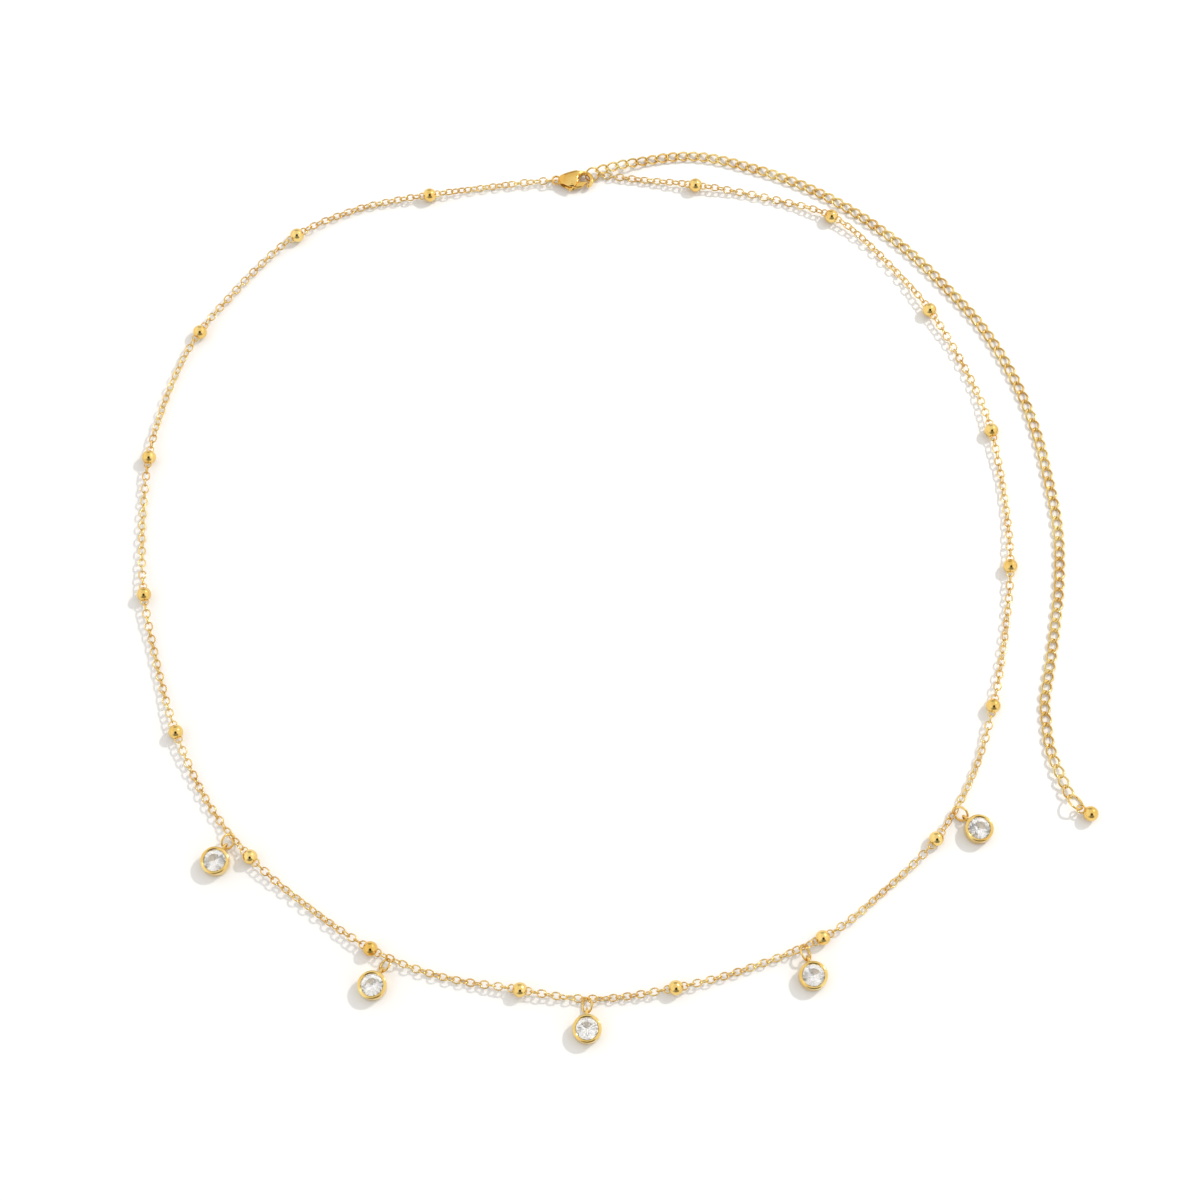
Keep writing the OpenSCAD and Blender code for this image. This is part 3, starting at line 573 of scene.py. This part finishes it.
TIP_SHARE = 0.03  # what is left of a section at the very end of a cast arm


def rounded(angles, squareness):
    """Cosine and sine of a superellipse: powers below 1 square a circle off."""
    c, s = np.cos(angles), np.sin(angles)
    return np.sign(c) * np.abs(c) ** squareness, np.sign(s) * np.abs(s) ** squareness


def cast_arm(stations, squareness, ends):
    """Solid with rounded sections along a run. Each station gives the plan place of one edge, of
    the other edge, the height of the middle and the half height. A section is a superellipse from
    edge to edge, and shrinks like a quarter circle over the end lengths of the run."""
    v = smooth_curve(stations, np.linspace(0, len(stations) - 1, CLASP_STEPS))
    one, other, middle, half_height = v[:, 0:2], v[:, 2:4], v[:, 4], v[:, 5]
    centre, across = (one + other) / 2, (one - other) / 2
    run = np.concatenate([[0], np.cumsum(np.hypot(*np.diff(centre, axis=0).T))])
    near = np.clip(np.minimum(run / ends[0], (run[-1] - run) / ends[1]), 0, 1)
    shrink = TIP_SHARE + (1 - TIP_SHARE) * np.sqrt(1 - (1 - near) ** 2)
    wide, high = rounded(2 * np.pi * np.arange(SECTION_POINTS) / SECTION_POINTS, squareness)
    plan = centre[:, None] + across[:, None] * (shrink[:, None] * wide)[..., None]
    heights = middle[:, None] + (half_height * shrink)[:, None] * high
    points = np.concatenate([plan, heights[..., None]], -1).reshape(-1, 3)
    faces = grid_faces(CLASP_STEPS, SECTION_POINTS, close_rows=False).tolist()
    return points, faces + end_faces(len(points), SECTION_POINTS)


def cast_eye(centre, bore_r, outer_r, thickness):
    """Flat eye with rounded edges: a superellipse section carried round an upright axis."""
    a = 2 * np.pi * np.arange(EYE_SEGMENTS) / EYE_SEGMENTS
    section = 2 * np.pi * np.arange(EYE_SECTION_POINTS) / EYE_SECTION_POINTS
    wide, high = rounded(section, EYE_SQUARENESS)
    r = (outer_r + bore_r) / 2 + (outer_r - bore_r) / 2 * wide
    points = np.stack([np.cos(a)[:, None] * r, np.sin(a)[:, None] * r,
                       np.repeat(thickness / 2 * high[None], EYE_SEGMENTS, 0)], -1)
    faces = grid_faces(EYE_SEGMENTS, EYE_SECTION_POINTS)[:, ::-1]
    return points.reshape(-1, 3) + centre, faces


def hook_stations(first, last, count):
    """Stations of the hook's arc, both edges at their radii about the hook's middle."""
    a = np.radians(np.linspace(first, last, count))
    c, s = np.cos(a), np.sin(a)
    return np.stack([HOOK_OUTER_R * c, HOOK_OUTER_R * s, HOOK_INNER_R * c, HOOK_INNER_R * s,
                     0 * a, 0 * a + HOOK_T / 2], -1).tolist()


spine = cast_arm([
    (-7.0, 0.9, -7.0, -0.9, 0, 0.3), (-6.2, 1.15, -6.2, -1.15, 0, 0.55),
    (-5.2, 1.5, -5.0, -0.6, 0, 1.0), (-3.4, 2.1, -3.4, 0.3, 0, 1.35),
    (-1.4, 2.52, -1.55, 0.75, 0, 1.3), (-0.3, 2.58, -0.3, 1.5, 0, 0.9)]
    + hook_stations(first=78, last=-72, count=9), squareness=0.9, ends=(0.5, 0.6))
cheek_half = (CLASP_T - SLOT_T) / 4 - 0.02  # the curve through the stations swells by 0.02
cheek_z = SLOT_T / 2 + cheek_half
cheeks = [cast_arm([
    (-6.6, 1.0, -6.6, -1.0, side * 0.45, 0.25), (-5.2, 1.48, -5.2, -1.75, side * 0.9, 0.42),
    (-3.5, 2.06, -3.7, -2.45, side * cheek_z, cheek_half),
    (-1.9, 2.42, -2.45, -2.25, side * cheek_z, cheek_half),
    (-0.95, 1.9, -1.68, -0.9, side * 0.92, 0.38)], squareness=0.9, ends=(0.5, 0.5))
    for side in (-1, 1)]
dome = np.radians(np.linspace(0, 90, 6))
rivet_r = np.append(RIVET_R, RIVET_FLAT_R + (RIVET_R - RIVET_FLAT_R) * np.cos(dome))
rivet_z = np.append(RIVET_FOOT_Z, RIVET_SHOULDER_Z + RIVET_DOME * np.sin(dome))
rivet_points, rivet_faces = turned(PIVOT, np.column_stack([rivet_r, rivet_z]), RIVET_SEGMENTS,
                                   hollow=False)
clasp_parts = [spine, *cheeks, cast_eye(TAIL_BORE, TAIL_BORE_R, TAIL_EYE_R, TAIL_EYE_T),
               (rivet_points, rivet_faces),
               (rivet_points * [1, 1, -1], [face[::-1] for face in rivet_faces])]
clasp_gold = plated_gold("plated_gold_clasp", "#F2D283", "#DFAF55", 0.07)
make_piece("lobster_clasp_body", [(points + CLASP_AT, faces) for points, faces in clasp_parts],
           clasp_gold, "chain", "clasp_body")

# Clasp lever: a small cast gate on the riveted pin. Its thumb tab stands out of the slot and its
# arm closes the hook's mouth; a spring in the slot, which can't be seen, holds it there.
LEVER_T = 0.9
lever_arm = cast_arm([
    (-4.15, -3.1, -3.72, -3.4, 0, 0.3), (-3.98, -2.5, -3.25, -2.95, 0, 0.4),
    (-3.9, -1.7, -2.7, -2.3, 0, LEVER_T / 2), (-3.65, -0.95, -2.0, -2.36, 0, LEVER_T / 2),
    (-2.7, -0.62, -1.5, -2.4, 0, LEVER_T / 2), (-1.7, -0.52, -0.9, -2.3, 0, LEVER_T / 2),
    (-0.9, -0.47, -0.3, -2.0, 0, LEVER_T / 2), (-0.3, -0.44, 0.12, -1.55, 0, LEVER_T / 2),
    (0.3, -0.42, 0.5, -1.2, 0, 0.42), (0.95, -0.58, 0.9, -1.0, 0, 0.38)],
    squareness=0.7, ends=(0.35, 0.3))
make_piece("lobster_clasp_lever", [(lever_arm[0] + CLASP_AT, lever_arm[1])], clasp_gold,
           "lever", "clasp_lever")

# Rings at the clasp: the tail's ring carries the chain's start; the hooked ring carries its end
# and the extender. Both are jump rings like the drops', of slightly thinner wire.
CLASP_RING_CUT = 150
for name, ring in (("clasp_tail_ring", TAIL_RING), ("clasp_hook_ring", HOOK_RING)):
    make_piece(name + "_wire", [jump_ring(box_centre(name), CLASP_RING_CUT, **ring)], ring_gold,
               "chain", name)

# Extender: a curb chain of round wire links, each twisted a quarter turn between its ends, so
# that at every overlap one strand crosses over the next link's.
EXTENDER_ROUTE = [
    (12, 116), (24, 116.7), (37, 113.5), (50, 108.5), (63, 101), (76, 90.5), (87, 78.5),
    (96.5, 66), (103.5, 52), (108, 38), (110.5, 24), (112, 10.5), (111.5, -2.5),
    (109.5, -16), (107.5, -26.5), (106, -34), (106, -40), (106.5, -46), (108, -51.5),
    (110, -57)]
CURB_COUNT = 91
CURB_LENGTH = 3.95
CURB_WIDTH = 3.0
CURB_WIRE = 0.48
CURB_WIRE_SEEN = 0.57  # drawn a little thicker inwards, as the photograph shows it
CURB_TWIST = 90
CURB_PLAY = 0.22
CURB_NARROWER = 0.93
CURB_STAND = 0.72
CURB_POINTS = 24
CURB_SIDES = 6
HOOK_FAN_HIGH = 16
END_LINK_Z = 1.4

curb_bow = (CURB_LENGTH - CURB_WIRE) / 2
curb_z = CURB_STAND * CURB_WIDTH / 2 * math.sin(math.radians(CURB_TWIST / 2))
high_spot = ring_point(box_centre("clasp_hook_ring"), fan=HOOK_FAN_HIGH, **HOOK_RING)
first_curb = beyond(high_spot, EXTENDER_ROUTE[0], curb_bow, HOOK_RING["wire"], CURB_WIRE, CURB_PLAY)
extender = smooth_route([first_curb[:2]] + EXTENDER_ROUTE)
extender_span = extender[0][-1]


def extender_height(s):
    """Height of the extender's middle line at distances s along its route."""
    return (curb_z + (first_curb[2] - curb_z) * settle(s)
            + (END_LINK_Z - curb_z) * settle(extender_span - s))


def curb_shape():
    """Centre line of a curb link: an ellipse whose cross direction turns with the cosine of its
    angle, from an eighth of a turn one way at one end to an eighth the other way."""
    a = 2 * np.pi * np.arange(CURB_POINTS) / CURB_POINTS
    twist = math.radians(CURB_TWIST / 2) * np.cos(a)
    half_length = (CURB_LENGTH - CURB_WIRE_SEEN) / 2
    half_width = CURB_NARROWER * (CURB_WIDTH - CURB_WIRE_SEEN) / 2
    return np.stack([half_length * np.cos(a), half_width * np.sin(a) * np.cos(twist),
                     half_width * np.sin(a) * np.sin(twist)], -1)


s = np.linspace(0, extender_span, CURB_COUNT)
centres = place_links(curb_shape(), extender, extender_height, s, 0 * s)
curb_gold = plated_gold("plated_gold_extender", "#F2D992", "#E3BB6B", 0.09)
make_piece("curb_links", [wire_round(centres, CURB_WIRE_SEEN, CURB_SIDES)], curb_gold,
           "chain", "extender_chain")

# End of the extender: a larger jump ring, and a polished ball whose soldered eye hangs on it.
END_RING = {"outer_d": 4.8, "wire": 0.55, "lean": 50, "side": -1}
END_RING_CUT = 120
END_TURN = 22
END_BALL_R = 1.85
END_BALL_TURN = 20
END_EYE_WIRE = 0.42
END_EYE_R = 1.0
END_EYE_OUT = 0.7
END_EYE_SIDES = 12

end_turn = math.degrees(route_heading(extender, extender_span)) + END_TURN
end_ring = jump_ring(box_centre("extender_ring"), END_RING_CUT, turn=end_turn, **END_RING)
make_piece("end_jump_ring", [end_ring], ring_gold, "chain", "extender_ring")
out = level(end_turn + END_BALL_TURN)
# The ball touches the sides of its CAD box that lie away from the ring
low, high = (np.array(corner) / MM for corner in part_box("extender_ball"))
ball_at = np.where(out > 0, high - END_BALL_R, low + END_BALL_R)
ball_at[2] = END_BALL_R
end_eye = eye_line(ball_at - (END_BALL_R + END_EYE_OUT) * out, END_EYE_R, out, np.cross(UP, out))
parts = [ball_surface(ball_at, END_BALL_R), wire_round(end_eye, END_EYE_WIRE, END_EYE_SIDES)]
make_piece("end_ball", parts, ball_gold, "chain", "extender_ball")

# Surface and light, in metres: the chain lies on a plain white table in a tent of white cloth,
# with the dim room between its parts. A small lamp on the right throws the short shadows, and
# polished gold shows the camera's dark opening as black.
TABLE_SIZE = 20.0
LAMP_HEIGHT = math.radians(43)
LAMP_TURN = math.radians(37)
LAMP_AWAY = 1.6
LAMP_SIZE = 0.035
LAMP_POWER = 11.3
TENT_ROOM = 0.55
# Way to a part's middle, the angles from it within which the part is whole and beyond which it
# has faded out, and its brightness. Where parts meet, the later one covers the earlier.
TENT_PARTS = [
    ((1, 0.2, 0.5), 50, 62, 1.15),  # cloth on the right
    ((-1, 0.1, 0.5), 45, 58, 1.15),  # cloth on the left
    ((0, 0.25, 1), 28, 45, 1.0),  # cloth overhead
    ((0.2, -1, 0.45), 24, 34, 0.3),  # the open front
    ((0, 0, -1), 94, 99, 0.95),  # cloth round the foot
    ((0.08, -0.42, 0.9), 16, 21, 0.03)]  # the camera's opening

table_mesh = bpy.data.meshes.new("white_table")
half = TABLE_SIZE / 2
table_mesh.from_pydata([(-half, -half, 0), (half, -half, 0), (half, half, 0), (-half, half, 0)], [],
                       [(0, 1, 2, 3)])
table = bpy.data.objects.new("white_table", table_mesh)
bpy.context.collection.objects.link(table)
paper = bpy.data.materials.new("white_paper")
paper.use_nodes = True
paper_surface = paper.node_tree.nodes["Principled BSDF"]
paper_surface.inputs["Base Color"].default_value = linear("#F8F7F5")
paper_surface.inputs["Roughness"].default_value = 0.9
paper_surface.inputs["Specular IOR Level"].default_value = 0.0
table_mesh.materials.append(paper)

lamp_data = bpy.data.lights.new("low_lamp", "AREA")
lamp_data.shape = "DISK"
lamp_data.size = LAMP_SIZE
lamp_data.energy = LAMP_POWER
lamp = bpy.data.objects.new("low_lamp", lamp_data)
lamp_way = np.array([math.cos(LAMP_HEIGHT) * math.cos(LAMP_TURN),
                     math.cos(LAMP_HEIGHT) * math.sin(LAMP_TURN), math.sin(LAMP_HEIGHT)])
lamp.location = lamp_way * LAMP_AWAY
lamp.rotation_euler = (math.pi / 2 - LAMP_HEIGHT, 0, LAMP_TURN + math.pi / 2)
bpy.context.collection.objects.link(lamp)

world = bpy.data.worlds.new("white_tent")
bpy.context.scene.world = world
world.use_nodes = True
world.node_tree.nodes.clear()
way = add_node(world, "ShaderNodeTexCoord").outputs["Generated"]


def zone(direction, inner, outer):
    """1 where the way looks within an inner angle of a direction, 0 beyond an outer one."""
    dot = add_node(world, "ShaderNodeVectorMath", {0: way}, operation="DOT_PRODUCT")
    dot.inputs[1].default_value = np.array(direction) / np.linalg.norm(direction)
    fade = add_node(world, "ShaderNodeMapRange", {"Value": dot.outputs["Value"]},
                    interpolation_type="SMOOTHSTEP", From_Min=math.cos(math.radians(outer)),
                    From_Max=math.cos(math.radians(inner)))
    return fade.outputs["Result"]


below = {}
for direction, inner, outer, brightness in TENT_PARTS:
    layer = add_node(world, "ShaderNodeMapRange", {"Value": zone(direction, inner, outer), **below},
                     To_Min=TENT_ROOM, To_Max=brightness)
    below = {"To Min": layer.outputs["Result"]}
glow = layer.outputs["Result"]
grey = add_node(world, "ShaderNodeCombineColor", {"Red": glow, "Green": glow, "Blue": glow})
background = add_node(world, "ShaderNodeBackground", {"Color": grey.outputs["Color"]}, Strength=1.0)
add_node(world, "ShaderNodeOutputWorld", {"Surface": background.outputs["Background"]})
bpy.context.scene.view_settings.view_transform = "Standard"
